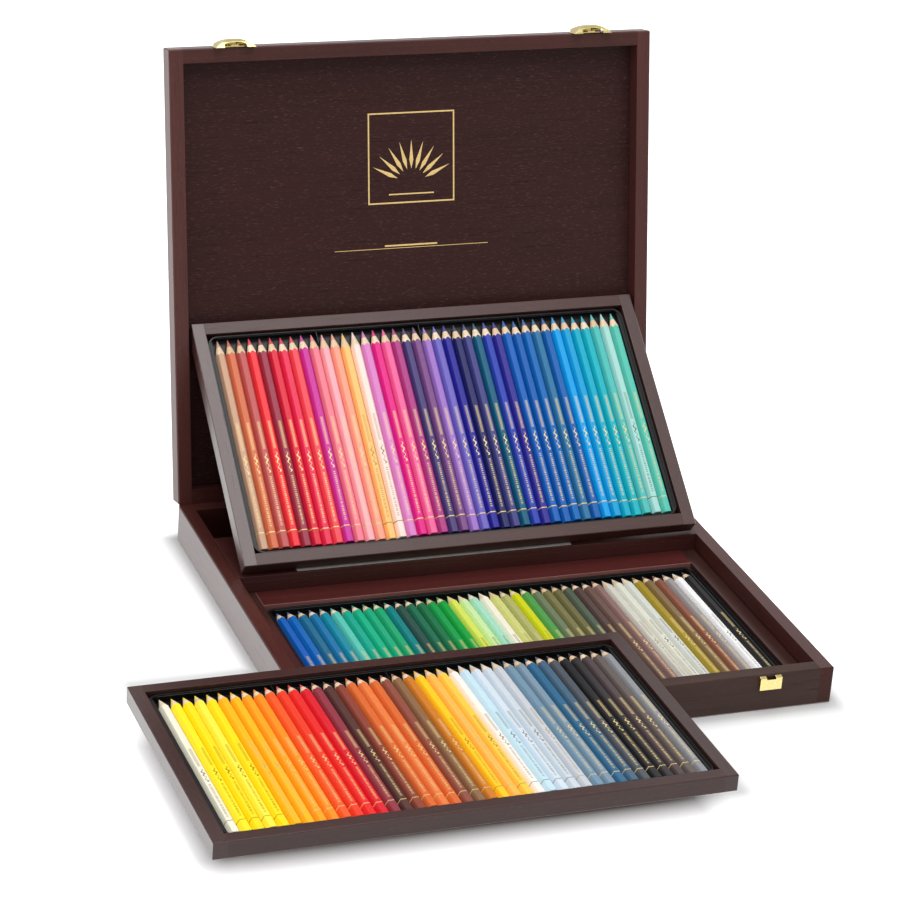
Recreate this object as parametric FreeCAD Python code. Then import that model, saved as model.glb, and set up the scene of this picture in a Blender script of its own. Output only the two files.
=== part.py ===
"""Hinged wooden pencil case, open, with three lift-out trays of forty pencils each.

Frame: origin at the centre of the case's underside, X along the hinge line, Y towards the hinge, Z up.
The lid stands open on its stop hinges. The lower tray lies in the tray well, the leaning tray stands
on the shelf behind the well with its far edge against the lid, and the front tray lies level across
the top of the case's front wall. All lengths are in millimetres, all angles in degrees.
"""
import FreeCAD, Part
import math
import os

# Pencils
pencil_length = 175.0
pencil_flats = 7.0
pencil_gap = 0.03
pencils_in_group = 10
groups_in_tray = 4
point_length = 14.5
point_sides = 18

# Pencil insert, a thin formed sheet
sheet = 0.8
insert_gap = 0.6
insert_height = 6.0
insert_corner = 9.0
side_ledge = 3.75
end_ledge = 1.8
pocket_corner = 2.5
pocket_side_clearance = 0.4
pocket_end_clearance = 1.0
divider_thickness = 0.8
divider_length = 10.0
bead_width = 1.4
bead_height = 1.1

# Trays
rail_width = 9.6
floor_thickness = 2.0
floor_lift = 0.6
pencil_headroom = 1.8
tray_side_gap = 2.7
tray_end_gap = 2.2
tray_chamfer = 0.5
stack_gap = 0.3
trays_in_well = 2
lower_near_strip = 1.6

# Case
wall = 10.7
base_thickness = 3.2
rim_headroom = 0.1
edge_chamfer = 0.8
cross_wall_thickness = 8.0
shelf_thickness = 4.0
shelf_depth = 65.4
recess_depth = 47.8

# Lid
panel_thickness = 2.8
hollow_headroom = 0.8
rim_gap = 0.2
open_angle = 102.2

# Where the two lifted trays stand
lean_setback = 3.9
leaflet_thickness = 0.6
leaflet_length = 213.0
leaflet_depth = 58.0
leaflet_shift = -28.3
leaflet_setback = 1.9
front_tray_shift = -125.3
front_tray_reach = 142.3
front_tray_yaw = 0.5

# Hinges
hinge_inset = 80.0
hinge_length = 38.0
knuckles = 3
knuckle_radius = 2.1
knuckle_gap = 0.2
pin_radius = 0.9
pin_clearance = 0.05
leaf_thickness = 0.9
leaf_depth = 9.0
notch_clearance = 0.3

# Catches on the lid and keepers on the case
catch_inset = 49.4
dome_half_width = 15.7
dome_half_height = 8.5
dome_rise = 5.9
dome_flat = 0.4
dome_centre = 2.5
dome_wall = 0.8
dome_face_gap = 0.3
heel_start = 7.4
heel_rise = 1.9
mouth_clearance = 0.25
mouth_crown = 1.2
tongue_half_width = 3.0
tongue_thickness = 0.8
tongue_stand_off = 1.0
tongue_reach = 0.9
pivot_height = 7.0
pivot_stand_off = 1.3
pivot_radius = 0.5
pivot_clearance = 0.05
lug_half_height = 0.9
lug_stand_off = 0.5
lug_rise = 3.8
ear_gap = 0.3
ear_thickness = 1.0
ear_rise = 2.2
ear_drop = 2.7
plate_half_width = 8.0
plate_thickness = 0.8
plate_bottom = 1.0
plate_top_drop = 1.8
keeper_half_width = 8.2
keeper_depth = 2.6
keeper_height = 9.9
keeper_drop = 0.9
keeper_slope = 0.9
keeper_wall = 0.7
keeper_notch_half_width = 3.5
keeper_notch_depth = 1.1

# A cut runs this far past what it cuts
overrun = 1.0

# Pencils set the pocket, the pocket sets the tray, and the trays set the case
corner_radius = pencil_flats / math.sqrt(3)
pencil_pitch = 2 * corner_radius + pencil_gap
section_width = pencils_in_group * pencil_pitch
pocket_width = groups_in_tray * section_width + 2 * pocket_side_clearance
pocket_length = pencil_length + 2 * pocket_end_clearance
pocket_floor = floor_lift + floor_thickness + sheet
tray_width = pocket_width + 2 * (side_ledge + insert_gap + rail_width)
tray_depth = pocket_length + 2 * (end_ledge + insert_gap + rail_width)
tray_height = pocket_floor + pencil_flats + pencil_headroom
tray_half_width = tray_width / 2

well_depth = tray_depth + 2 * tray_end_gap
inner_half_width = tray_half_width + tray_side_gap
half_width = inner_half_width + wall
half_depth = (well_depth + shelf_depth + recess_depth) / 2 + wall
front_inner = wall - half_depth
back_inner = half_depth - wall
well_back = front_inner + well_depth
recess_front = well_back + shelf_depth
case_height = base_thickness + trays_in_well * tray_height + stack_gap + rim_headroom

hinge_y = half_depth
hinge_z = case_height + rim_gap / 2
lid_bottom = case_height + rim_gap
panel_bottom = lid_bottom + tray_height + hollow_headroom
lid_top = panel_bottom + panel_thickness
hollow_depth = panel_bottom - hinge_z

X_AXIS = FreeCAD.Vector(1, 0, 0)
Y_AXIS = FreeCAD.Vector(0, 1, 0)
Z_AXIS = FreeCAD.Vector(0, 0, 1)


def block(x0, x1, y0, y1, z0, z1):
    """A box between two corners."""
    return Part.makeBox(x1 - x0, y1 - y0, z1 - z0, FreeCAD.Vector(x0, y0, z0))


def rod(radius, start, axis, length):
    """A cylinder from a start point along an axis."""
    return Part.makeCylinder(radius, length, FreeCAD.Vector(*start), axis)


def rounded_plate(half_x, y0, y1, z0, z1, radius):
    """A flat plate, centred on X, with rounded upright corners."""
    plate = block(-half_x, half_x, y0, y1, z0, z1)
    upright = [edge for edge in plate.Edges if edge.BoundBox.ZLength > edge.Length / 2]
    return plate.makeFillet(radius, upright)


def flat_face(corners):
    """A flat face by its corners in turn."""
    return Part.Face(Part.makePolygon(corners + corners[:1]))


def polygon(sides, radius, y):
    """The corners of a regular polygon about the Y axis, one of them on X."""
    step = 2 * math.pi / sides
    return [FreeCAD.Vector(radius * math.cos(index * step), y, radius * math.sin(index * step))
            for index in range(sides)]


def pyramid(sides, radius, base_y, tip_y):
    """A pyramid about the Y axis on a regular polygon."""
    corners = polygon(sides, radius, base_y)
    tip = FreeCAD.Vector(0, tip_y, 0)
    faces = [flat_face([corners[index - 1], corners[index], tip]) for index in range(sides)]
    return Part.makeSolid(Part.makeShell(faces + [flat_face(corners)]))


def turned_open(shape):
    """A closed-lid piece turned back about the hinge line to the open position."""
    turned = shape.copy()
    turned.rotate(FreeCAD.Vector(0, hinge_y, hinge_z), X_AXIS, -open_angle)
    return turned


def four_members(envelope, half_x, y0, y1, inside, z0, z1):
    """The frame of an envelope: two full-length stiles with two rails butted between them.

    The opening inside them is given by its half width and its near and far edge.
    """
    clear, near, far = inside
    left = envelope.common(block(-half_x, -clear, y0, y1, z0, z1))
    right = envelope.common(block(clear, half_x, y0, y1, z0, z1))
    front = envelope.common(block(-clear, clear, y0, near, z0, z1))
    back = envelope.common(block(-clear, clear, far, y1, z0, z1))
    return left, right, front, back


def case_envelope(z0, z1, rim):
    """The outline of the case or the lid, eased at every edge but the one on the hinge line."""
    shape = block(-half_width, half_width, -half_depth, half_depth, z0, z1)
    hinge_line = FreeCAD.Vector(0, half_depth, rim)
    eased = [edge for edge in shape.Edges if (edge.BoundBox.Center - hinge_line).Length > edge_chamfer]
    return shape.makeChamfer(edge_chamfer, eased)


def case_pieces():
    """Walls, base, cross wall, shelf and recess wall of the case."""
    envelope = case_envelope(0, case_height, case_height)
    left, right, front, back = four_members(envelope, half_width, -half_depth, half_depth,
                                            (inner_half_width, front_inner, back_inner), 0, case_height)
    for side in (-1, 1):
        back = back.cut(hinge_notch(side * (half_width - hinge_inset), -1))
    shelf_bottom = case_height - shelf_thickness
    across = (-inner_half_width, inner_half_width)
    return {
        "case_left_wall": left,
        "case_right_wall": right,
        "case_front_wall": front,
        "case_back_wall": back,
        "case_base": block(*across, front_inner, back_inner, 0, base_thickness),
        "case_cross_wall": block(*across, well_back, well_back + cross_wall_thickness,
                                 base_thickness, shelf_bottom),
        "case_shelf": block(*across, well_back, recess_front, shelf_bottom, case_height),
        "case_recess_wall": block(*across, recess_front - cross_wall_thickness, recess_front,
                                  base_thickness, shelf_bottom),
        "leaflet": leaflet(),
    }


def leaflet():
    """The folded sheet that lies on the shelf under the leaning tray."""
    front = well_back + leaflet_setback
    return block(leaflet_shift - leaflet_length / 2, leaflet_shift + leaflet_length / 2,
                 front, front + leaflet_depth, case_height, case_height + leaflet_thickness)


def lid_pieces():
    """Frame and panel of the lid, modelled shut and turned open."""
    envelope = case_envelope(lid_bottom, lid_top, lid_bottom)
    left, right, front, back = four_members(envelope, half_width, -half_depth, half_depth,
                                            (inner_half_width, front_inner, back_inner), lid_bottom, lid_top)
    for side in (-1, 1):
        back = back.cut(hinge_notch(side * (half_width - hinge_inset), 1))
    panel = block(-inner_half_width, inner_half_width, front_inner, back_inner, panel_bottom, lid_top)
    pieces = {"lid_left_stile": left, "lid_right_stile": right, "lid_front_rail": front,
              "lid_back_rail": back, "lid_panel": panel}
    return {name: turned_open(shape) for name, shape in pieces.items()}


def hinge_leaf(x, side):
    """One leaf let into a rim: side -1 lies in the case's rim, side 1 in the lid's."""
    rim = hinge_z + side * rim_gap / 2
    low, high = sorted((rim, rim + side * leaf_thickness))
    return block(x - hinge_length / 2, x + hinge_length / 2, hinge_y - leaf_depth, hinge_y, low, high)


def hinge_notch(x, side):
    """The wood that a leaf and the barrel need out of the way."""
    reach = hinge_length / 2 + notch_clearance
    barrel = rod(knuckle_radius + notch_clearance, (x - reach, hinge_y, hinge_z), X_AXIS, 2 * reach)
    return hinge_leaf(x, side).fuse(barrel)


def hinge_pieces(x, label):
    """Two leaves whose knuckles take turns on one pin, the case's at both ends."""
    pitch = (hinge_length + knuckle_gap) / knuckles
    starts = [x - hinge_length / 2 + index * pitch for index in range(knuckles)]
    barrels = [rod(knuckle_radius, (start, hinge_y, hinge_z), X_AXIS, pitch - knuckle_gap)
               for start in starts]
    rooms = [rod(knuckle_radius + knuckle_gap, (start - knuckle_gap, hinge_y, hinge_z), X_AXIS,
                 pitch + knuckle_gap) for start in starts]
    bore = rod(pin_radius + pin_clearance, (x - hinge_length, hinge_y, hinge_z), X_AXIS, 2 * hinge_length)
    case_leaf = hinge_leaf(x, -1).cut(rooms[1::2]).fuse(barrels[0::2]).cut(bore)
    lid_leaf = hinge_leaf(x, 1).cut(rooms[0::2]).fuse(barrels[1::2]).cut(bore)
    pin = rod(pin_radius, (x - hinge_length / 2, hinge_y, hinge_z), X_AXIS, hinge_length)
    return {"hinge_case_leaf_" + label: case_leaf.removeSplitter(),
            "hinge_lid_leaf_" + label: turned_open(lid_leaf.removeSplitter()),
            "hinge_pin_" + label: pin}


def front_block(x, half_x, out0, out1, up0, up1):
    """A box on the front face, by its reach out of the face and its height above the lid's rim."""
    face = -half_depth
    return block(x - half_x, x + half_x, face - out1, face - out0, hinge_z + up0, hinge_z + up1)


def vault_radius(half_span, rise):
    """The radius of an arch by its half span and rise."""
    return (half_span ** 2 + rise ** 2) / (2 * rise)


def dome(x, inset):
    """Two barrel vaults crossed on the lid's front face, both thinner by the inset.

    The upright one alone would rise higher, so the crown is a narrow ridge along the level one.
    """
    crown = -half_depth - dome_rise
    wide = vault_radius(dome_half_width, dome_rise + dome_flat)
    tall = vault_radius(dome_half_height, dome_rise)
    centre = hinge_z + dome_centre
    reach = dome_half_height + overrun
    upright = rod(wide - inset, (x, crown - dome_flat + wide, centre - reach), Z_AXIS, 2 * reach)
    level = rod(tall - inset, (x - wide, crown + tall, centre), X_AXIS, 2 * wide)
    return upright.common(level)


def mouth(x):
    """The arched opening at the dome's lower end, through which the keeper passes."""
    half_span = keeper_half_width + mouth_clearance
    spring = keeper_depth + mouth_clearance
    radius = vault_radius(half_span, mouth_crown)
    bottom = dome_centre - dome_half_height - overrun
    passage = front_block(x, half_span, -overrun, spring + mouth_crown, bottom, 0)
    arch = rod(radius, (x, radius - spring - mouth_crown - half_depth, hinge_z + bottom), Z_AXIS, -bottom)
    return passage.common(arch)


def catch_lever(x):
    """The domed brass catch with its arched mouth, tongue and pivot lug."""
    reach = dome_half_width + overrun
    bottom = dome_centre - dome_half_height - overrun
    top = dome_centre + dome_half_height + overrun
    keep = front_block(x, reach, dome_face_gap, dome_rise + overrun, bottom, top)
    heel = front_block(x, reach, -overrun, heel_rise, heel_start, top)
    shell = dome(x, 0).cut(dome(x, dome_wall)).common(keep).cut(heel).cut(mouth(x))
    lug = front_block(x, tongue_half_width, lug_stand_off, lug_rise,
                      pivot_height - lug_half_height, pivot_height + lug_half_height)
    tongue = front_block(x, tongue_half_width, tongue_stand_off, tongue_stand_off + tongue_thickness,
                         case_height - keeper_drop - tongue_reach - hinge_z, pivot_height)
    bore = rod(pivot_radius + pivot_clearance, (x - reach, -half_depth - pivot_stand_off,
                                                hinge_z + pivot_height), X_AXIS, 2 * reach)
    return shell.fuse([lug, tongue]).cut(bore).removeSplitter()


def catch_plate(x):
    """The plate behind the dome, with the two ears that carry the pivot."""
    shape = front_block(x, plate_half_width, 0, plate_thickness, plate_bottom, pivot_height - plate_top_drop)
    inner = tongue_half_width + ear_gap
    for side in (-1, 1):
        centre = x + side * (inner + ear_thickness / 2)
        ear = front_block(centre, ear_thickness / 2, 0, ear_rise,
                          pivot_height - ear_drop, pivot_height + lug_half_height)
        shape = shape.fuse(ear)
    start = (x - inner - ear_thickness, -half_depth - pivot_stand_off, hinge_z + pivot_height)
    pin = rod(pivot_radius, start, X_AXIS, 2 * (inner + ear_thickness))
    return shape.fuse(pin).removeSplitter()


def keeper_body(x, inset):
    """The outline of the keeper, its top sloping down to the front, all faces but the back inset."""
    back = -half_depth
    front = back - keeper_depth + inset
    top = case_height - keeper_drop - inset
    bottom = case_height - keeper_drop - keeper_height + inset
    start = x - keeper_half_width + inset
    side = flat_face([FreeCAD.Vector(start, back, bottom), FreeCAD.Vector(start, back, top),
                      FreeCAD.Vector(start, front, top - keeper_slope),
                      FreeCAD.Vector(start, front, bottom)])
    return side.extrude(X_AXIS * 2 * (keeper_half_width - inset))


def keeper(x):
    """The folded brass box on the case's front, open behind and with a slot across its top."""
    top = case_height - keeper_drop
    slot = block(x - keeper_notch_half_width, x + keeper_notch_half_width,
                 -half_depth - keeper_depth - overrun, -half_depth + overrun,
                 top - keeper_slope - keeper_notch_depth, top + overrun)
    return keeper_body(x, 0).cut(keeper_body(x, keeper_wall)).cut(slot)


def catch_pieces(x, label):
    """Plate and lever on the lid, keeper on the case."""
    return {"catch_plate_" + label: turned_open(catch_plate(x)),
            "catch_lever_" + label: turned_open(catch_lever(x)),
            "keeper_" + label: keeper(x)}


def pencil():
    """A hexagonal pencil along Y from its blunt end, its point cut to scallops as a sharpener cuts it."""
    shank = flat_face(polygon(6, corner_radius, 0)).extrude(Y_AXIS * pencil_length)
    behind = pencil_length + overrun
    return shank.common(pyramid(point_sides, corner_radius * behind / point_length, -overrun, pencil_length))


def pencil_group(index):
    """The pencils side by side in one section of the pocket."""
    single = pencil()
    first = (pencil_pitch - pocket_width) / 2 + pocket_side_clearance + index * section_width
    blunt_end = (tray_depth - pocket_length) / 2 + pocket_end_clearance
    height = pocket_floor + pencil_flats / 2
    row = []
    for step in range(pencils_in_group):
        copy = single.copy()
        copy.translate(FreeCAD.Vector(first + step * pencil_pitch, blunt_end, height))
        row.append(copy)
    return Part.makeCompound(row)


def insert():
    """The formed sheet: a flange with a raised bead, a rounded pocket and stub dividers at its far end."""
    low = floor_lift + floor_thickness
    high = low + insert_height
    half_x = tray_half_width - rail_width - insert_gap
    y0 = rail_width + insert_gap
    y1 = tray_depth - rail_width - insert_gap
    pocket_half = pocket_width / 2
    pocket_y0 = (tray_depth - pocket_length) / 2
    pocket_y1 = pocket_y0 + pocket_length
    flange = rounded_plate(half_x, y0, y1, high - sheet, high, insert_corner)
    bead = rounded_plate(half_x, y0, y1, high, high + bead_height, insert_corner)
    bead = bead.cut(rounded_plate(half_x - bead_width, y0 + bead_width, y1 - bead_width, high - overrun,
                                  high + bead_height + overrun, insert_corner - bead_width))
    tub = rounded_plate(pocket_half + sheet, pocket_y0 - sheet, pocket_y1 + sheet, low, high,
                        pocket_corner + sheet)
    pocket = rounded_plate(pocket_half, pocket_y0, pocket_y1, pocket_floor, high + overrun, pocket_corner)
    shape = flange.fuse([bead, tub]).cut(pocket)
    for index in range(1, groups_in_tray):
        start = index * section_width + pocket_side_clearance - pocket_half - divider_thickness / 2
        shape = shape.fuse(block(start, start + divider_thickness, pocket_y1 - divider_length, pocket_y1,
                                 pocket_floor, high))
    return shape.removeSplitter()


def tray_pieces(prefix, placement, half_x=tray_half_width, y0=0, y1=tray_depth):
    """A tray in its own frame, near edge on Y = 0 and underside on Z = 0, then put in its place.

    The half width and the near and far edges may differ, for a frame that fills the well.
    """
    envelope = block(-half_x, half_x, y0, y1, 0, tray_height)
    envelope = envelope.makeChamfer(tray_chamfer, envelope.Edges)
    inside = tray_half_width - rail_width
    near = rail_width
    far = tray_depth - rail_width
    left, right, front, back = four_members(envelope, half_x, y0, y1, (inside, near, far), 0, tray_height)
    floor = block(-inside, inside, near, far, floor_lift, floor_lift + floor_thickness)
    pieces = {"left_stile": left, "right_stile": right, "near_rail": front, "far_rail": back,
              "floor": floor, "insert": insert()}
    for index in range(groups_in_tray):
        pieces["pencils_%d" % (index + 1)] = pencil_group(index)
    for shape in pieces.values():
        shape.Placement = placement.multiply(shape.Placement)
    return {prefix + "_" + name: shape for name, shape in pieces.items()}


def lower_tray_pieces():
    """The lower tray fills the well: wide side strips, a narrow near strip and a wide far board."""
    near_edge = rail_width - lower_near_strip
    origin_y = front_inner + stack_gap - near_edge
    placement = FreeCAD.Placement(FreeCAD.Vector(0, origin_y, base_thickness), FreeCAD.Rotation())
    return tray_pieces("lower_tray", placement, inner_half_width - stack_gap, near_edge,
                       well_back - stack_gap - origin_y)


def leaning_tray_place():
    """Near edge on the shelf's leaflet, far edge against the lid's panel."""
    near_y = well_back + lean_setback
    near_z = case_height + leaflet_thickness + stack_gap
    opened = math.radians(open_angle)
    offset = (near_y - hinge_y) * math.sin(opened) + (near_z - hinge_z) * math.cos(opened)
    lean = 180 - open_angle - math.degrees(math.asin((hollow_depth - stack_gap - offset) / tray_depth))
    return FreeCAD.Placement(FreeCAD.Vector(0, near_y, near_z), FreeCAD.Rotation(X_AXIS, lean))


def front_tray_place():
    """Level on the front wall, drawn forward and to the left."""
    spot = FreeCAD.Vector(front_tray_shift, -half_depth - front_tray_reach, case_height + stack_gap)
    return FreeCAD.Placement(spot, FreeCAD.Rotation(Z_AXIS, front_tray_yaw))


def all_pieces():
    """Every piece by its name."""
    pieces = {}
    pieces.update(case_pieces())
    pieces.update(lid_pieces())
    for side, label in ((-1, "left"), (1, "right")):
        pieces.update(hinge_pieces(side * (half_width - hinge_inset), label))
        pieces.update(catch_pieces(side * (half_width - catch_inset), label))
    pieces.update(lower_tray_pieces())
    pieces.update(tray_pieces("leaning_tray", leaning_tray_place()))
    pieces.update(tray_pieces("front_tray", front_tray_place()))
    return pieces


def main():
    """Write one file for each piece."""
    os.makedirs("parts", exist_ok=True)
    for name, shape in all_pieces().items():
        shape.exportStep(os.path.join("parts", name + ".step"))


main()
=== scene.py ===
"""A hinged wooden pencil case, open, with three trays of coloured pencils, dressed for a picture.

Every piece lies in the solid model's own frame, in metres: X along the hinge line, Y towards the hinge,
Z up, with the origin at the centre of the case's underside.
"""
import bmesh
import bpy
import math
from mathutils import Matrix, Vector


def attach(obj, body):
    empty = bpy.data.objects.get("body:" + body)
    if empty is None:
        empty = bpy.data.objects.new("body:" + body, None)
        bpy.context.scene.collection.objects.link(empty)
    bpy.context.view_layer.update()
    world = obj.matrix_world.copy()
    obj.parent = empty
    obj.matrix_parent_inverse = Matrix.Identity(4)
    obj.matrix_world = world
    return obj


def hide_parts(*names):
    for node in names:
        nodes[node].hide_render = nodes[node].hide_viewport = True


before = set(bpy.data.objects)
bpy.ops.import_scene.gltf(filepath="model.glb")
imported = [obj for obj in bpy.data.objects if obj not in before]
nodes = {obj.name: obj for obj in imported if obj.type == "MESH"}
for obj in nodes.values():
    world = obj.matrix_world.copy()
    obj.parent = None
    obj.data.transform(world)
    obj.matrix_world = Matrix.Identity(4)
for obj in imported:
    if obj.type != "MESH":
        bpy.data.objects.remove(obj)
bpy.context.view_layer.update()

# The case
# A shallow box of solid hardwood, stained dark red-brown and rubbed to a satin lacquer.
# Four members are butted and glued, the grain along each of them, with thin boards inside.


class Value:
    """What comes out of a shader node, on which sums are written as plain expressions."""

    def __init__(self, finish, socket):
        self.finish = finish
        self.socket = socket

    def maths(self, operation, other=0.0, reflected=False):
        first, second = (other, self) if reflected else (self, other)
        return self.finish.node("ShaderNodeMath", {"operation": operation}, {0: first, 1: second})

    def __add__(self, other):
        return self.maths("ADD", other)

    def __sub__(self, other):
        return self.maths("SUBTRACT", other)

    def __rsub__(self, other):
        return self.maths("SUBTRACT", other, True)

    def __mul__(self, other):
        return self.maths("MULTIPLY", other)

    def __pow__(self, other):
        return self.maths("POWER", other)

    def __lt__(self, other):
        return self.maths("LESS_THAN", other)

    def __gt__(self, other):
        return self.maths("GREATER_THAN", other)

    def __abs__(self):
        return self.maths("ABSOLUTE")

    def part(self):
        """The fraction left over after the last whole number."""
        return self.maths("FRACT")

    def floor(self):
        return self.maths("FLOOR")

    def held(self):
        """The value kept between 0 and 1."""
        return self.finish.node("ShaderNodeClamp", {}, {"Value": self})


class Finish:
    """A material whose nodes are added one method call at a time."""

    def __init__(self, name):
        self.material = bpy.data.materials.new(name)
        self.material.use_nodes = True
        self.tree = self.material.node_tree
        self.shader = self.tree.nodes["Principled BSDF"]

    def put(self, socket, value):
        if isinstance(value, Value):
            self.tree.links.new(value.socket, socket)
        else:
            socket.default_value = value

    def node(self, kind, settings, values, output=0):
        made = self.tree.nodes.new(kind)
        for key, setting in settings.items():
            setattr(made, key, setting)
        for key, value in values.items():
            self.put(made.inputs[key], value)
        return Value(self, made.outputs[output])

    def mix(self, factor, first, second, blend="MIX"):
        """Two colours mixed: sockets 0, 6 and 7 are the factor and the colours, output 2 the result."""
        return self.node("ShaderNodeMix", {"data_type": "RGBA", "blend_type": blend},
                         {0: factor, 6: first, 7: second}, 2)

    def place(self, stretch=(1.0, 1.0, 1.0), turn=(0.0, 0.0, 0.0)):
        """Object coordinates, turned and stretched."""
        where = self.node("ShaderNodeTexCoord", {}, {}, "Object")
        turned = self.node("ShaderNodeMapping", {"vector_type": "POINT"},
                           {"Vector": where, "Rotation": turn})
        return self.node("ShaderNodeMapping", {"vector_type": "POINT"}, {"Vector": turned, "Scale": stretch})

    def noise(self, where, scale, detail=2.0, roughness=0.5, distortion=0.0):
        return self.node("ShaderNodeTexNoise", {},
                         {"Vector": where, "Scale": scale, "Detail": detail, "Roughness": roughness,
                          "Distortion": distortion})

    def axis(self, where, name):
        return self.node("ShaderNodeSeparateXYZ", {}, {0: where}, name)

    def set(self, **values):
        """Sockets of the shader by their names, with underscores for spaces."""
        for key, value in values.items():
            self.put(self.shader.inputs[key.replace("_", " ")], value)

    def bump(self, height, distance, strength=1.0, normal=None):
        values = {"Height": height, "Distance": distance, "Strength": strength}
        if normal is not None:
            values["Normal"] = normal
        return self.node("ShaderNodeBump", {}, values)

    def rounded(self, radius):
        """The normal that an edge eased to this radius would have."""
        return self.node("ShaderNodeBevel", {"samples": 6}, {"Radius": radius})


def rgb(text):
    """A colour from its six hexadecimal digits, as light."""
    channels = [int(text[start:start + 2], 16) / 255 for start in (0, 2, 4)]
    return tuple(c / 12.92 if c <= 0.04045 else ((c + 0.055) / 1.055) ** 2.4 for c in channels) + (1.0,)


def between(value, low, high):
    """1 where a value lies between two others, else 0."""
    return (value > low) * (value < high)


def dress(name, finish):
    """A solid of the model gets a material in place of its own."""
    slots = nodes[name].data.materials
    slots.clear()
    slots.append(finish.material)


def stained_wood(name, grain, dark, light, turn=(0.0, 0.0, 0.0), gloss=0.36, pores=1.0, shine=0.5, coat=0.3,
                 edge_highlight_strips=(), ease=0.0006, front=None, flecks=0.16):
    """Stained close-grained hardwood whose fibres run along one axis of the piece.

    The colour is made pale in painted highlights along strips, each given by an axis and the places between
    which it lies.
    Before the place `front` on the Y axis the wood is end grain, left without the coat.
    """
    finish = Finish(name)
    fibre, figure, speck = (tuple(along if axis == grain else aside for axis in "XYZ")
                            for along, aside in ((14.0, 420.0), (3.0, 26.0), (260.0, 1300.0)))
    fibres = finish.noise(finish.place(fibre, turn), 1.0, 3.0, 0.6)
    clouds = finish.noise(finish.place(figure, turn), 1.0, 3.0, 0.55, 0.6)
    vessels = finish.noise(finish.place(tuple(2.6 * s for s in fibre), turn), 1.0, 1.0)
    specks = finish.noise(finish.place(speck, turn), 1.0, 2.0)
    tone = (fibres * 0.55 + clouds * 0.75 - 0.15).held()
    pore = ((vessels - 0.62) * 6.0).held()
    pale = ((specks - 0.58) * 7.0).held() * flecks
    base = finish.mix(tone, rgb(dark), rgb(light))
    deep = tuple(0.45 * c for c in rgb(dark)[:3]) + (1.0,)
    colour = finish.mix(pale, finish.mix(pore * (0.6 * pores), base, deep), rgb("6E564C"))
    where = finish.place()
    # Painted highlights: in these strips the colour turns pale, standing in for the light caught on arrises
    # and joints.
    for axis, start, end in edge_highlight_strips:
        edge_highlight = between(finish.axis(where, axis), start, end) * (clouds * 0.9 + fibres * 0.5 - 0.1).held()
        colour = finish.mix(edge_highlight, colour, rgb("9A6A64"))
    finish.set(Base_Color=colour,
               Roughness=(fibres * 0.12 + (gloss - 0.06)) + pore * 0.1,
               Coat_Weight=coat if front is None else (finish.axis(where, "Y") > front) * coat,
               Coat_Roughness=0.2, Specular_IOR_Level=shine,
               Normal=finish.bump(fibres - pore * 0.7, 0.00004, 0.5 * pores,
                                  finish.rounded(ease) if ease else None))
    return finish


RIM_DARK = "331814"
RIM_LIGHT = "562D29"
BOARD_DARK = "321615"
BOARD_LIGHT = "4E2623"
END_GRAIN_Y = -0.1695
case_along = stained_wood("stained wood along", "Y", RIM_DARK, RIM_LIGHT, gloss=0.3, shine=0.12, coat=0.38,
                          front=END_GRAIN_Y)
case_boards = stained_wood("stained board", "X", BOARD_DARK, BOARD_LIGHT, shine=0.3, coat=0.0)
for piece in ("case_left_wall", "case_right_wall"):
    dress(piece, case_along)
# Painted shade: the front wall's wood is given darker, browner colours than the other walls, for the shade
# on the front face.
case_front = stained_wood("stained wood front", "X", "2C1C17", "4C342D", gloss=0.4, shine=0.15, coat=0.0)
case_back = stained_wood("stained wood back", "X", RIM_DARK, RIM_LIGHT, shine=0.2, coat=0.0, ease=0.0)
dress("case_front_wall", case_front)
dress("case_back_wall", case_back)
for piece in ("case_base", "case_cross_wall", "case_shelf", "case_recess_wall"):
    dress(piece, case_boards)

# The lid
# The same wood in a thinner frame round a thin veneered panel, hung on the case's back wall, leaning back.
# The panel's veneer is darker, with its fine grain from side to side.

LID_LEAN = math.radians(12.2)
LID_TURN = (LID_LEAN, 0.0, 0.0)
lid_across = stained_wood("lid wood across", "X", RIM_DARK, RIM_LIGHT, LID_TURN, shine=0.25, coat=0.0)
# Painted light: the stiles' wood is given lighter colours than the rails', for the light that falls on their
# faces.
lid_stiles_painted_lighter = stained_wood("lid wood upright", "Z", "3C1E1A", "643632", LID_TURN, shine=0.25, coat=0.08)
lid_veneer = stained_wood("lid veneer", "X", "281615", "432524", LID_TURN, gloss=0.5, pores=1.0, shine=0.14,
                          coat=0.0, flecks=0.32)
for piece in ("lid_left_stile", "lid_right_stile"):
    dress(piece, lid_stiles_painted_lighter)
lid_back = stained_wood("lid wood at the hinge", "X", RIM_DARK, RIM_LIGHT, LID_TURN, shine=0.2, coat=0.0,
                        ease=0.0)
dress("lid_front_rail", lid_across)
dress("lid_back_rail", lid_back)
dress("lid_panel", lid_veneer)

# The shade strip at the hinge
# A hair-thin strip of the back wall's wood on its rim fills the joint under the hinge line, so that no light
# comes through it: painted shade, a dark block that stands in for the shade in the joint.


def finished(name, mesh, body, finish):
    """A mesh made into a piece of the object, riding on its body."""
    bmesh.ops.recalc_face_normals(mesh, faces=mesh.faces)
    data = bpy.data.meshes.new(name)
    mesh.to_mesh(data)
    mesh.free()
    data.materials.append(finish.material)
    piece = bpy.data.objects.new(name, data)
    bpy.context.scene.collection.objects.link(piece)
    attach(piece, body)
    return piece


SHADE_STRIP_HALF_LENGTH = 0.1899
SHADE_STRIP_FRONT_Y = 0.1690
SHADE_STRIP_BACK_Y = 0.1701
SHADE_STRIP_LOW_Z = 0.0279
SHADE_STRIP_HIGH_Z = 0.028085
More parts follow.
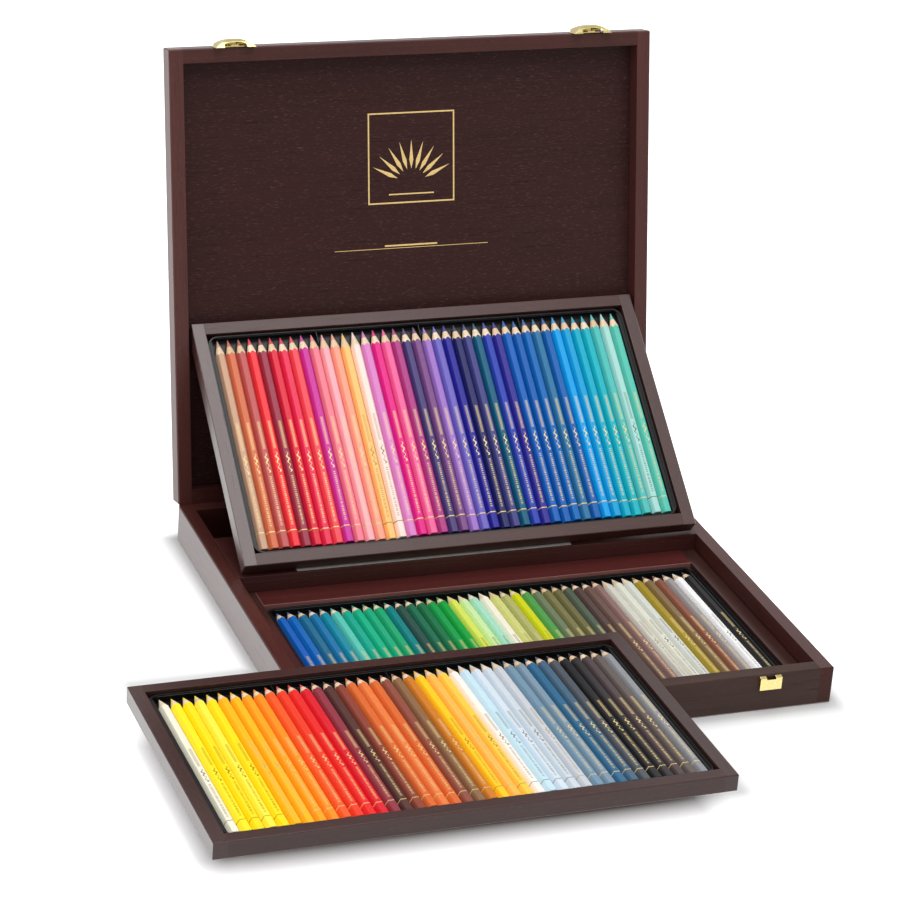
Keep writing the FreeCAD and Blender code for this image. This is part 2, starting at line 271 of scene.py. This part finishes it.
# Painted shade: a thin block of the back wall's wood closing the joint under the hinge.
hinge_shade_strip = bmesh.new()
strip_corners = [hinge_shade_strip.verts.new((x, y, z)) for x in (-SHADE_STRIP_HALF_LENGTH, SHADE_STRIP_HALF_LENGTH)
        for y in (SHADE_STRIP_FRONT_Y, SHADE_STRIP_BACK_Y) for z in (SHADE_STRIP_LOW_Z, SHADE_STRIP_HIGH_Z)]
for corners in ((0, 1, 3, 2), (4, 6, 7, 5), (0, 4, 5, 1), (2, 3, 7, 6), (0, 2, 6, 4), (1, 5, 7, 3)):
    hinge_shade_strip.faces.new([strip_corners[corner] for corner in corners])
finished("case_back_bead", hinge_shade_strip, "case", case_back)

# The gilding on the lid's panel
# Gold foil pressed into the lacquer: a square border round a plain fan of rays, and a fine rule below it
# with a short thicker bar. The foil is a few hundredths of a millimetre proud of the veneer.

HINGE_Y = 0.170
HINGE_Z = 0.0281
PANEL_DEPTH = 0.0131
FOIL = 0.00006


def on_panel(across, up, out=0.0):
    """A point on the panel's inner face, by its place across, its height up the lid and its distance out."""
    along = Vector((0.0, math.sin(LID_LEAN), math.cos(LID_LEAN)))
    facing = Vector((0.0, -math.cos(LID_LEAN), math.sin(LID_LEAN)))
    foot = Vector((across, HINGE_Y, HINGE_Z)) - facing * PANEL_DEPTH
    return foot + along * up + facing * out


def foil_shape(mesh, outline):
    """A closed leaf of foil over an outline given as places across and up."""
    low = [mesh.verts.new(on_panel(x, up, -FOIL)) for x, up in outline]
    high = [mesh.verts.new(on_panel(x, up, FOIL)) for x, up in outline]
    mesh.faces.new(high)
    mesh.faces.new(list(reversed(low)))
    for index in range(len(outline)):
        after = (index + 1) % len(outline)
        mesh.faces.new((low[index], low[after], high[after], high[index]))


def bar(x0, x1, up0, up1):
    return [(x0, up0), (x1, up0), (x1, up1), (x0, up1)]


gold = Finish("gold foil")
foil_wear = gold.noise(gold.place((900.0, 900.0, 900.0)), 1.0, 2.0)
gold.set(Base_Color=gold.mix(foil_wear, rgb("CAA666"), rgb("F0D696")), Metallic=1.0,
         Roughness=foil_wear * 0.2 + 0.3)

BORDER_LEFT = -0.034
BORDER_RIGHT = 0.035
BORDER_LOW = 0.216
BORDER_HIGH = 0.285
BORDER_LINE = 0.0011
RAY_COUNT = 9
RAY_SPREAD = math.radians(130.0)
RAY_REACH = 0.034
RAY_START = 0.012
RAY_HALF_WIDTH = 0.0016
RAY_WIDEST = 0.55 * RAY_REACH
inner_low = BORDER_LOW + BORDER_LINE
inner_high = BORDER_HIGH - BORDER_LINE
ray_centre_x = (BORDER_LEFT + BORDER_RIGHT) / 2
ray_foot = BORDER_LOW + 0.014
gilding = bmesh.new()
for edges in ((BORDER_LEFT, BORDER_RIGHT, BORDER_LOW, inner_low),
              (BORDER_LEFT, BORDER_RIGHT, inner_high, BORDER_HIGH),
              (BORDER_LEFT, BORDER_LEFT + BORDER_LINE, inner_low, inner_high),
              (BORDER_RIGHT - BORDER_LINE, BORDER_RIGHT, inner_low, inner_high)):
    foil_shape(gilding, bar(*edges))
for index in range(RAY_COUNT):
    angle = RAY_SPREAD * (index / (RAY_COUNT - 1) - 0.5)
    outline = []
    for reach, aside in ((RAY_START, 0.0), (RAY_WIDEST, RAY_HALF_WIDTH), (RAY_REACH, 0.0),
                         (RAY_WIDEST, -RAY_HALF_WIDTH)):
        x = ray_centre_x + reach * math.sin(angle) + aside * math.cos(angle)
        up = ray_foot + reach * math.cos(angle) - aside * math.sin(angle)
        outline.append((x, up))
    foil_shape(gilding, outline)
under_rays = (ray_centre_x - 0.018, ray_centre_x + 0.018, BORDER_LOW + 0.0065, BORDER_LOW + 0.0075)
fine_rule = (-0.061, 0.062, 0.1818, 0.1822)
short_bar = (-0.021, 0.021, 0.1834, 0.1846)
for edges in (under_rays, fine_rule, short_bar):
    foil_shape(gilding, bar(*edges))
finished("lid_gilding", gilding, "lid", gold)

# The brass hinges, catches and keepers
# Stamped and folded brass sheet, bright plated, with the faint waviness that a press leaves.
# The catches hang on the lid's front rim, and the keepers are nailed to the case's front wall.

brass = Finish("bright brass")
brass_waves = brass.noise(brass.place((60.0, 60.0, 60.0)), 1.0, 2.0)
brass_wear = brass.noise(brass.place((700.0, 700.0, 700.0)), 1.0, 3.0)
brass.set(Base_Color=brass.mix(brass_wear, rgb("BEA866"), rgb("DCCE94")), Metallic=1.0,
          Roughness=brass_wear * 0.12 + 0.14,
          Normal=brass.bump(brass_waves, 0.0004, 0.35, brass.rounded(0.0004)))
for side in ("left", "right"):
    for piece in ("hinge_case_leaf_", "hinge_lid_leaf_", "hinge_pin_",
                  "catch_plate_", "catch_lever_", "keeper_"):
        dress(piece + side, brass)

# The knuckles of the catches
# Each catch's sheet is rolled into a tube on either side of the plate's ears, and its pin runs through them.

MM = 0.001
KNUCKLE_RADIUS = 1.2 * MM
KNUCKLE_SIDES = 24
KNUCKLE_NEAR = 4.4 * MM
KNUCKLE_FAR = 10.8 * MM
CATCH_X = 0.1406
CATCH_PIN_Y = 0.248967
CATCH_PIN_Z = 0.360213
for side, centre_x in (("left", -CATCH_X), ("right", CATCH_X)):
    knuckles = bmesh.new()
    for start, end in ((-KNUCKLE_FAR, -KNUCKLE_NEAR), (KNUCKLE_NEAR, KNUCKLE_FAR)):
        rings = []
        for offset in (start, end):
            ring = []
            for index in range(KNUCKLE_SIDES):
                angle = 2 * math.pi * index / KNUCKLE_SIDES
                ring.append(knuckles.verts.new((centre_x + offset,
                                                CATCH_PIN_Y + KNUCKLE_RADIUS * math.cos(angle),
                                                CATCH_PIN_Z + KNUCKLE_RADIUS * math.sin(angle))))
            rings.append(ring)
        for index in range(KNUCKLE_SIDES):
            after = (index + 1) % KNUCKLE_SIDES
            knuckles.faces.new((rings[0][index], rings[0][after], rings[1][after], rings[1][index]))
        knuckles.faces.new(rings[0])
        knuckles.faces.new(rings[1])
    finished("catch_knuckles_" + side, knuckles, "catch_" + side, brass)

# The trays
# Shallow frames of the same wood with a thin board let in for a floor. Two are alike, one leaning on
# the lid and one across the front wall. The third fills the well and has a broad far board.

TRAY_PLACES = {
    "lower_tray": (Vector((0.0, -0.1670, 0.0032)), 0.0, 0.0),
    "leaning_tray": (Vector((0.0, 0.0500, 0.0289)), 0.0, math.radians(37.405)),
    "front_tray": (Vector((-0.1253, -0.3123, 0.0283)), math.radians(0.5), 0.0),
}
# Painted light: the leaning tray's wood is given lighter colours than the level trays', for the light that
# falls on it.
LEANING_TRAY_LIT_WOOD = ("2F1A17", "50302C")
LEVEL_WOOD = ("291613", "462925")


def tray_matrix(tray):
    """From the tray's own frame, near edge on Y = 0 and underside on Z = 0, to its place."""
    spot, yaw, lean = TRAY_PLACES[tray]
    return Matrix.Translation(spot) @ Matrix.Rotation(yaw, 4, "Z") @ Matrix.Rotation(lean, 4, "X")


for tray, (_, yaw, lean) in TRAY_PLACES.items():
    back = (-lean, 0.0, -yaw)
    lifted = tray == "leaning_tray"
    # The leaning tray takes the lighter colours, which are painted light.
    dark, light = LEANING_TRAY_LIT_WOOD if lifted else LEVEL_WOOD
    across = stained_wood(tray + " wood across", "X", dark, light, back, gloss=0.34,
                          shine=0.42 if lifted else 0.36, coat=0.0)
    along = stained_wood(tray + " wood along", "Y", dark, light, back, gloss=0.3,
                         shine=0.5 if lifted else 0.2, coat=0.4)
    board = stained_wood(tray + " board", "X", BOARD_DARK, BOARD_LIGHT, back, gloss=0.5)
    dress(tray + "_near_rail", across)
    dress(tray + "_far_rail", across)
    dress(tray + "_left_stile", along)
    dress(tray + "_right_stile", along)
    dress(tray + "_floor", board)
# Painted highlights: pale lines along the far board's edges and at its joint at the left end.
far_board_edge_highlights = (("Y", 0.0243, 0.0250), ("Y", 0.0452, 0.0459), ("X", -0.1672, -0.1665))
lower_board = stained_wood("lower tray far board", "X", "331312", "56221F", shine=0.3, coat=0.0,
                           edge_highlight_strips=far_board_edge_highlights)
dress("lower_tray_far_rail", lower_board)

# The pencil inserts
# One vacuum-formed sheet of glossy black plastic to a tray, with a raised lip round its edge and stub
# dividers at its far end. Forming leaves a slight ripple in the gloss.

black_plastic = Finish("glossy black plastic")
ripple = black_plastic.noise(black_plastic.place((45.0, 45.0, 45.0)), 1.0, 2.0)
black_plastic.set(Base_Color=black_plastic.mix(ripple, rgb("0B0B0C"), rgb("171718")),
                  Roughness=ripple * 0.1 + 0.24, Specular_IOR_Level=0.3,
                  Normal=black_plastic.bump(ripple, 0.0008, 0.25, black_plastic.rounded(0.0005)))
for tray in TRAY_PLACES:
    dress(tray + "_insert", black_plastic)

# The pencils
# Hexagonal cedar sheaths in glossy lacquer with one flat side up, sharpened to a scalloped cone of bare wood
# with a pigmented lead. Each has a thin foil ring near its blunt end, and dashes and a wave on top.

PENCIL_LENGTH = 175.0 * MM
PENCIL_FLATS = 7.0 * MM
PENCIL_CORNER = PENCIL_FLATS / math.sqrt(3)
PENCIL_PITCH = 2 * PENCIL_CORNER + 0.03 * MM
PENCIL_EASE = 0.45 * MM
POINT_LENGTH = 14.5 * MM
LEAD_RADIUS = 1.9 * MM
LEAD_BLUNT = 0.25 * MM
END_PLAY = 1.4 * MM
BLUNT_EASE = 0.3 * MM
GROUP_COUNT = 4
PENCILS_IN_GROUP = 10
BLUNT_END_Y = 13.0 * MM
PENCIL_AXIS_Z = 6.9 * MM

PAINTS = {
    "ivory": "F0EBD6", "milk": "F6EFE6", "lemon": "FFE81C", "sun yellow": "FFE010",
    "pale lemon": "FFEC46", "gold yellow": "FDC91A", "maize": "FCCA48", "sand yellow": "F6B850",
    "amber": "FCB816", "dark amber": "FBA31A", "orange": "F8901E", "flame": "EE5C26",
    "vermilion": "EA3E26", "scarlet": "E62A28", "carmine": "DA1C2C", "wine": "8E3442",
    "bordeaux": "9A3046", "umber": "52302C", "russet": "8A4032", "rust": "D8682E", "light rust": "E67C40",
    "chestnut": "8C4C3C", "hazel": "8A6444", "ochre": "CC7A22", "ice blue": "C4E0EC", "mist": "D2DEE8",
    "silver mist": "CAD4DC", "pearl grey": "C6CAD0", "steel blue": "7090A6", "pigeon": "7A92A4",
    "marine": "2C6488", "slate blue": "42627A", "slate": "4A5058", "black": "151517",
    "soft black": "2A2628", "bark": "4A3C3E", "taupe": "5F5450", "mouse grey": "8A8C90",
    "beige": "C99F82", "terracotta": "D36E4A", "old rose": "BF5856", "red": "F0323C", "crimson": "DE203C",
    "raspberry": "E82A52", "coral": "F04A56", "fuchsia": "CC2F9C", "salmon": "F58090",
    "light pink": "F9AEB6", "peach": "F9A48A", "apricot": "FCC676", "blush": "FDE4DA", "orchid": "DD84C8",
    "magenta": "E51B87", "pink": "F266A0", "mallow": "AE3A84", "indigo": "463A74", "plum": "7A4A86",
    "lilac": "9F74C8", "periwinkle": "6E64BE", "night blue": "221F92", "navy": "1E2060",
    "smoke navy": "3F4080", "petrol": "045A7A", "ultramarine": "2A40AE", "violet blue": "2E2890",
    "azure": "1060B8", "cobalt": "0B5CAE", "gentian": "0866B4", "steel teal": "2A72A0", "royal": "0E60AE",
    "sky": "04A0E6", "cyan": "0AA0D6", "lagoon": "04ABC8", "turquoise": "12B4C2", "aqua": "4FBFBA",
    "pale aqua": "A8DCD6", "jade": "5AC5B2", "harbour blue": "1E6A8C", "sea blue": "1672A4",
    "deep turquoise": "1089A0", "light jade": "57C2B2", "emerald": "12A58C", "spring green": "10AE84",
    "grass": "16A67A", "leaf": "1CA26E", "deep teal": "0B7F80", "pine": "2B4F48", "fir": "1F6B50",
    "bottle green": "1D7148", "bright green": "1A9A4C", "apple green": "16A040", "lime": "D4E25C",
    "pale lime": "C9E8A4", "mint": "A6DCC2", "straw": "CDD07E", "olive yellow": "AEB06C",
    "acid green": "CCD216", "moss": "4F9A4C", "lichen": "6C7A5A", "olive": "78744A",
    "dark olive": "6C6840", "spruce grey": "505C4C", "bistre": "54403C", "brown": "6A5048",
    "mauve brown": "8A6A66", "pale grey": "CECCC0", "shell grey": "DADACC", "bone": "D0D4CC",
    "antique gold": "A08A26", "bronze": "806844", "copper": "86523F", "silver": "9A9594",
    "white": "F2F2F2",
}
ROWS = {
    "leaning_tray": (
        "beige, terracotta, old rose, red, bordeaux, crimson, raspberry, coral, fuchsia, salmon, "
        "light pink, peach, apricot, blush, orchid, magenta, pink, mallow, indigo, plum, "
        "lilac, periwinkle, night blue, navy, smoke navy, petrol, ultramarine, violet blue, azure, cobalt, "
        "gentian, steel teal, royal, sky, cyan, lagoon, turquoise, aqua, pale aqua, jade"),
    "lower_tray": (
        "azure, gentian, harbour blue, sea blue, deep turquoise, light jade, emerald, spring green, grass, "
        "leaf, "
        "deep teal, pine, fir, bottle green, bright green, apple green, lime, pale lime, mint, ivory, "
        "straw, olive yellow, acid green, moss, lichen, olive, dark olive, spruce grey, bistre, brown, "
        "mauve brown, pale grey, shell grey, bone, antique gold, bronze, copper, silver, white, black"),
    "front_tray": (
        "ivory, lemon, sun yellow, pale lemon, sun yellow, amber, amber, dark amber, orange, flame, "
        "vermilion, scarlet, carmine, wine, umber, russet, rust, light rust, rust, chestnut, "
        "hazel, ochre, gold yellow, sand yellow, maize, milk, ice blue, mist, silver mist, pearl grey, "
        "steel blue, pigeon, marine, slate blue, slate, black, soft black, bark, taupe, mouse grey"),
}
LACQUER, BARE_WOOD, LEAD = 0.0, 1.0, 2.0


def sheath_outline():
    """The hexagon's outline with eased corners, as places across and up, with points along each flat."""
    outline = []
    inner = PENCIL_CORNER - PENCIL_EASE / math.cos(math.radians(30))
    for corner in range(6):
        heading = math.radians(60 * corner)
        centre = Vector((inner * math.cos(heading), inner * math.sin(heading)))
        for turn in (-30, -10, 10, 30):
            way = heading + math.radians(turn)
            outline.append(centre + PENCIL_EASE * Vector((math.cos(way), math.sin(way))))
        after = math.radians(60 * (corner + 1))
        far = Vector((inner * math.cos(after), inner * math.sin(after)))
        way = heading + math.radians(30)
        far = far + PENCIL_EASE * Vector((math.cos(way), math.sin(way)))
        near = outline[-1]
        outline.extend(near.lerp(far, share) for share in (0.25, 0.5, 0.75))
    return outline


def pencil_mesh():
    """One pencil along Y, with its zones and its own coordinates kept as attributes."""
    outline = sheath_outline()
    taper = PENCIL_CORNER / POINT_LENGTH
    mesh = bmesh.new()
    zone = mesh.faces.layers.float.new("zone")
    rows = []
    for y, scale in ((0.0, 1 - 2 * BLUNT_EASE / PENCIL_FLATS), (BLUNT_EASE, 1.0)):
        rows.append([mesh.verts.new((scale * p.x, y, scale * p.y)) for p in outline])
    rows.append([mesh.verts.new((p.x, PENCIL_LENGTH - p.length / taper, p.y)) for p in outline])
    halfway = 0.5 * (LEAD_RADIUS + PENCIL_FLATS / 2)
    for radius in (halfway, LEAD_RADIUS, 0.5 * LEAD_RADIUS, 0.12 * LEAD_RADIUS):
        y = PENCIL_LENGTH - radius / taper
        rows.append([mesh.verts.new((radius * p.x / p.length, y, radius * p.y / p.length)) for p in outline])
    tip = mesh.verts.new((0.0, PENCIL_LENGTH - LEAD_BLUNT, 0.0))
    zones = [LACQUER, LACQUER, BARE_WOOD, BARE_WOOD, LEAD, LEAD]
    count = len(outline)
    for low, high, kind in zip(rows, rows[1:], zones):
        for index in range(count):
            after = (index + 1) % count
            face = mesh.faces.new((low[after], low[index], high[index], high[after]))
            face[zone] = kind
            face.smooth = True
    for index in range(count):
        face = mesh.faces.new((rows[-1][(index + 1) % count], rows[-1][index], tip))
        face[zone] = LEAD
        face.smooth = True
    mesh.faces.new(rows[0])[zone] = LACQUER
    bmesh.ops.recalc_face_normals(mesh, faces=mesh.faces)
    hard = [edge for edge in mesh.edges if edge.is_manifold and edge.calc_face_angle() > math.radians(11)]
    for edge in hard:
        edge.smooth = False
    data = bpy.data.meshes.new("pencil")
    mesh.to_mesh(data)
    mesh.free()
    own = data.attributes.new("own_place", "FLOAT_VECTOR", "POINT")
    for vertex, cell in zip(data.vertices, own.data):
        cell.vector = vertex.co / MM
    return data


def pencil_row_tree():
    """Geometry nodes that put a pencil on each point, with some end play, in that point's colour."""
    tree = bpy.data.node_groups.new("pencil row", "GeometryNodeTree")
    for name, kind in (("Places", "Geometry"), ("Pencil", "Object"), ("End play", "Float"), ("Seed", "Int"),
                       ("Finish", "Material")):
        tree.interface.new_socket(name, in_out="INPUT", socket_type="NodeSocket" + kind)
    tree.interface.new_socket("Row", in_out="OUTPUT", socket_type="NodeSocketGeometry")
    given = tree.nodes.new("NodeGroupInput")
    info = tree.nodes.new("GeometryNodeObjectInfo")
    put = tree.nodes.new("GeometryNodeInstanceOnPoints")
    play = tree.nodes.new("FunctionNodeRandomValue")
    play.data_type = "FLOAT"
    reach = tree.nodes.new("ShaderNodeCombineXYZ")
    shift = tree.nodes.new("GeometryNodeTranslateInstances")
    solid = tree.nodes.new("GeometryNodeRealizeInstances")
    cover = tree.nodes.new("GeometryNodeSetMaterial")
    out = tree.nodes.new("NodeGroupOutput")
    floats = [socket for socket in play.inputs if socket.type == "VALUE"]
    link = tree.links.new
    link(given.outputs["Places"], put.inputs["Points"])
    link(given.outputs["Pencil"], info.inputs["Object"])
    link(info.outputs["Geometry"], put.inputs["Instance"])
    floats[0].default_value = 0.0
    link(given.outputs["End play"], floats[1])
    link(given.outputs["Seed"], play.inputs["Seed"])
    link([socket for socket in play.outputs if socket.type == "VALUE"][0], reach.inputs["Y"])
    link(put.outputs["Instances"], shift.inputs["Instances"])
    link(reach.outputs["Vector"], shift.inputs["Translation"])
    link(shift.outputs["Instances"], solid.inputs["Geometry"])
    link(solid.outputs["Geometry"], cover.inputs["Geometry"])
    link(given.outputs["Finish"], cover.inputs["Material"])
    link(cover.outputs["Geometry"], out.inputs["Row"])
    return tree


def identifier(tree, name):
    """The identifier by which a modifier knows a named input of its tree."""
    return next(item.identifier for item in tree.interface.items_tree
                if item.name == name and item.in_out == "INPUT")


pencil_finish = Finish("lacquered pencil")
paint = pencil_finish.node("ShaderNodeAttribute", {"attribute_name": "paint"}, {}, "Color")
zone = pencil_finish.node("ShaderNodeAttribute", {"attribute_name": "zone"}, {}, "Fac")
own = pencil_finish.node("ShaderNodeAttribute", {"attribute_name": "own_place"}, {}, "Vector")
own_x = pencil_finish.axis(own, "X")
own_y = pencil_finish.axis(own, "Y")
own_z = pencil_finish.axis(own, "Z")
bare = (zone > 0.5) * (zone < 1.5)
lacquered = zone < 0.5
cedar_grain = pencil_finish.noise(
    pencil_finish.node("ShaderNodeMapping", {}, {"Vector": own, "Scale": (3.0, 0.25, 3.0)}), 1.0, 3.0)
each = pencil_finish.node("ShaderNodeTexWhiteNoise", {"noise_dimensions": "3D"}, {"Vector": paint})
cedar = pencil_finish.mix((cedar_grain * 0.7 + each * 0.7 - 0.2).held(), rgb("DAB082"), rgb("FFEFD6"))
lead_dust = pencil_finish.noise(pencil_finish.place((1500.0, 1500.0, 1500.0)), 1.0, 2.0)
lead_colour = pencil_finish.mix(lead_dust * 0.3 + 0.02, paint, rgb("B8B0B0"))
TOP_FLAT = 3.2
MARK_HALF_WIDTH = 1.35
RING_PLACE = (12.6, 13.3)
DASH_PLACE = (17.0, 58.0)
WAVE_PLACE = (60.5, 77.0)
STROKE_PLACE = (80.0, 103.0)
on_top = (own_z > TOP_FLAT) * (abs(own_x) < MARK_HALF_WIDTH)
ring = between(own_y, *RING_PLACE)
dash_cell = own_y * 0.62
dash_noise = pencil_finish.node("ShaderNodeTexWhiteNoise", {"noise_dimensions": "1D"},
                                {"W": dash_cell.floor()})
small_dashes = between(own_y, *DASH_PLACE) * (dash_cell.part() < (dash_noise * 0.5 + 0.35)) \
    * (abs(own_x) < 0.8)
wave = (own_y * 1.35).maths("SINE") * 0.7
swell = (own_y * 0.55).maths("SINE") * 0.22 + 0.42
flourish = between(own_y, *WAVE_PLACE) * (abs(own_x - wave) < swell)
strokes = between(own_y, *STROKE_PLACE) * (abs(own_x) < 1.0) * ((own_y * 1.7).part() < 0.62)
foil = (on_top * ((small_dashes + strokes) * 0.66 + flourish) + ring).held() * lacquered
pale_paint = ((pencil_finish.node("ShaderNodeRGBToBW", {}, {"Color": paint}) - 0.52) * 8.0).held()
dull_foil = pencil_finish.mix(1.0, paint, rgb("A09078"), "MULTIPLY")
foil_colour = pencil_finish.mix(pale_paint, rgb("E2C886"), dull_foil)
body_colour = pencil_finish.mix(bare, lead_colour, cedar)
body_colour = pencil_finish.mix(lacquered, body_colour, paint)
orange_peel = pencil_finish.noise(pencil_finish.place((400.0, 400.0, 400.0)), 1.0, 2.0)
pencil_finish.set(
    Base_Color=pencil_finish.mix(foil, body_colour, foil_colour),
    Metallic=foil * 0.25,
    Roughness=(1 - lacquered) * 0.3 + lacquered * (orange_peel * 0.08 + 0.32) + 0.06,
    Specular_IOR_Level=0.28, Coat_Weight=lacquered * 0.06, Coat_Roughness=0.15,
    Normal=pencil_finish.bump(orange_peel * lacquered + foil * 0.6, 0.00003, 0.4))

pencil_object = bpy.data.objects.new("pencil pattern", pencil_mesh())
row_tree = pencil_row_tree()
section_width = PENCILS_IN_GROUP * PENCIL_PITCH
row_width = GROUP_COUNT * section_width
for seed, (tray, row) in enumerate(ROWS.items()):
    names = row.split(", ")
    for group in range(GROUP_COUNT):
        places = bpy.data.meshes.new("places")
        first = PENCIL_PITCH / 2 - row_width / 2 + group * section_width
        places.from_pydata([(first + step * PENCIL_PITCH, BLUNT_END_Y - 0.8 * MM, PENCIL_AXIS_Z)
                            for step in range(PENCILS_IN_GROUP)], [], [])
        colours = places.attributes.new("paint", "FLOAT_COLOR", "POINT")
        for cell, name in zip(colours.data, names[group * PENCILS_IN_GROUP:]):
            cell.color = rgb(PAINTS[name])
        holder = bpy.data.objects.new("pencil places", places)
        bpy.context.scene.collection.objects.link(holder)
        modifier = holder.modifiers.new("row", "NODES")
        modifier.node_group = row_tree
        for name, value in (("Pencil", pencil_object), ("End play", END_PLAY), ("Seed", 10 * seed + group),
                            ("Finish", pencil_finish.material)):
            modifier[identifier(row_tree, name)] = value
        bpy.context.view_layer.update()
        made = bpy.data.meshes.new_from_object(holder.evaluated_get(bpy.context.evaluated_depsgraph_get()))
        bpy.data.objects.remove(holder)
        made.transform(tray_matrix(tray))
        piece = bpy.data.objects.new("%s_pencil_row_%d" % (tray, group + 1), made)
        bpy.context.scene.collection.objects.link(piece)
        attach(piece, "case" if tray == "lower_tray" else tray)
        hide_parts("%s_pencils_%d" % (tray, group + 1))
bpy.data.objects.remove(pencil_object)

# The leaflet
# A folded sheet of pale coated paper on the shelf, under the leaning tray's near edge.

paper = Finish("coated paper")
paper_tone = paper.noise(paper.place((120.0, 120.0, 120.0)), 1.0, 3.0)
paper.set(Base_Color=paper.mix(paper_tone, rgb("C9C4BE"), rgb("DAD6D1")), Roughness=paper_tone * 0.1 + 0.5,
          Normal=paper.bump(paper_tone, 0.0001, 0.3))
dress("leaflet", paper)

# The table, the lamps and the camera
# A seamless white table in a dim room, under a large soft lamp overhead and a small one at the left.
# Where it is seen clear of the object's footprint, or mirrored, the table also glows, which keeps it white.

FLOOR_HALF = 15.0
table_mesh = bpy.data.meshes.new("table")
table_mesh.from_pydata([(-FLOOR_HALF, -FLOOR_HALF, 0.0), (FLOOR_HALF, -FLOOR_HALF, 0.0),
                        (FLOOR_HALF, FLOOR_HALF, 0.0), (-FLOOR_HALF, FLOOR_HALF, 0.0)], [], [(0, 1, 2, 3)])
table = bpy.data.objects.new("table", table_mesh)
bpy.context.scene.collection.objects.link(table)
white = Finish("white table")
table_place = white.place()
table_x = white.axis(table_place, "X")
table_y = white.axis(table_place, "Y")
CASE_HALF_WIDTH = 0.190
CASE_HALF_DEPTH = 0.170
SHADOW_AHEAD = 0.55
SHADOW_BEHIND = 1.6
GLOW_GAP = 0.003
GLOW_RISE = 40.0


def past(distance):
    """A distance kept from falling below 0."""
    return distance.maths("MAXIMUM", 0.0)


aside = past(abs(table_x) - CASE_HALF_WIDTH)
ahead = ((table_y * -1.0 - CASE_HALF_DEPTH) * SHADOW_AHEAD).maths(
    "MAXIMUM", (table_y - CASE_HALF_DEPTH) * SHADOW_BEHIND)
ahead = past(ahead)
off_case = (aside * aside + ahead * ahead) ** 0.5
aside = past(abs(table_x + 0.102) - 0.177)
ahead = past(abs(table_y + 0.154) - 0.112)
off_tray = (aside * aside + ahead * ahead) ** 0.5
away = ((off_case.maths("MINIMUM", off_tray) - GLOW_GAP) * GLOW_RISE).held()
glow = white.node("ShaderNodeLightPath", {}, {}, "Is Camera Ray") * away
for ray in ("Is Glossy Ray", "Is Transmission Ray"):
    glow = glow.maths("MAXIMUM", white.node("ShaderNodeLightPath", {}, {}, ray))
white.set(Base_Color=(0.7, 0.7, 0.7, 1.0), Roughness=0.9, Specular_IOR_Level=0.1, Emission_Strength=1.0,
          Emission_Color=white.mix(glow, (0.0, 0.0, 0.0, 1.0), (1.0, 1.0, 1.0, 1.0)))
table_mesh.materials.append(white.material)

ROOM_LOW = 0.16
ROOM_HIGH = 0.62
ROOM_MIRRORED = 0.85
world = bpy.data.worlds.new("pale room")
bpy.context.scene.world = world
world.use_nodes = True
sky = world.node_tree
direction = sky.nodes.new("ShaderNodeTexCoord")
height = sky.nodes.new("ShaderNodeSeparateXYZ")
level = sky.nodes.new("ShaderNodeMapRange")
level.inputs["To Min"].default_value = ROOM_LOW
level.inputs["To Max"].default_value = ROOM_HIGH
sky.links.new(direction.outputs["Generated"], height.inputs[0])
sky.links.new(height.outputs["Z"], level.inputs["Value"])
bright = sky.nodes.new("ShaderNodeMath")
bright.operation = "MAXIMUM"
rays = sky.nodes.new("ShaderNodeLightPath")
sky.links.new(level.outputs["Result"], bright.inputs[0])
shown = sky.nodes.new("ShaderNodeMath")
shown.operation = "MULTIPLY"
shown.inputs[1].default_value = ROOM_MIRRORED
sky.links.new(rays.outputs["Is Glossy Ray"], shown.inputs[0])
sky.links.new(shown.outputs[0], bright.inputs[1])
sky.links.new(bright.outputs[0], sky.nodes["Background"].inputs["Strength"])
sky.nodes["Background"].inputs["Color"].default_value = (1.0, 1.0, 1.0, 1.0)

for name, across, along, watts, spot, tilt in (("soft lamp", 1.6, 2.6, 44.0, (0.0, -0.45, 2.3), 0.0),
                                               ("soft fill", 1.2, 1.2, 9.0, (-1.9, 0.0, 0.9), -65.0)):
    lamp_data = bpy.data.lights.new(name, "AREA")
    lamp_data.shape = "RECTANGLE"
    lamp_data.size = across
    lamp_data.size_y = along
    lamp_data.energy = watts
    lamp = bpy.data.objects.new(name, lamp_data)
    lamp.matrix_world = Matrix.Translation(spot) @ Matrix.Rotation(math.radians(tilt), 4, "Y")
    bpy.context.scene.collection.objects.link(lamp)

CAMERA_AZIMUTH = math.radians(-21.635)
CAMERA_HEIGHT = math.radians(24.501)
CAMERA_ROLL = math.radians(4.462)
CAMERA_DISTANCE = 2.26382
CAMERA_TARGET = Vector((-0.04325, 0.0, 0.13814))
CAMERA_LENS = 128.594
back = Vector((math.sin(CAMERA_AZIMUTH) * math.cos(CAMERA_HEIGHT),
               -math.cos(CAMERA_AZIMUTH) * math.cos(CAMERA_HEIGHT), math.sin(CAMERA_HEIGHT)))
right = (-back).cross(Vector((0.0, 0.0, 1.0))).normalized()
up = right.cross(-back)
turned_right = right * math.cos(CAMERA_ROLL) + up * math.sin(CAMERA_ROLL)
turned_up = up * math.cos(CAMERA_ROLL) - right * math.sin(CAMERA_ROLL)
camera_data = bpy.data.cameras.new("camera")
camera_data.lens = CAMERA_LENS
camera_data.sensor_width = 36.0
camera = bpy.data.objects.new("camera", camera_data)
axes = Matrix((turned_right, turned_up, back)).transposed().to_4x4()
camera.matrix_world = Matrix.Translation(CAMERA_TARGET + back * CAMERA_DISTANCE) @ axes
bpy.context.scene.collection.objects.link(camera)
bpy.context.scene.camera = camera
bpy.context.scene.view_settings.view_transform = "Standard"
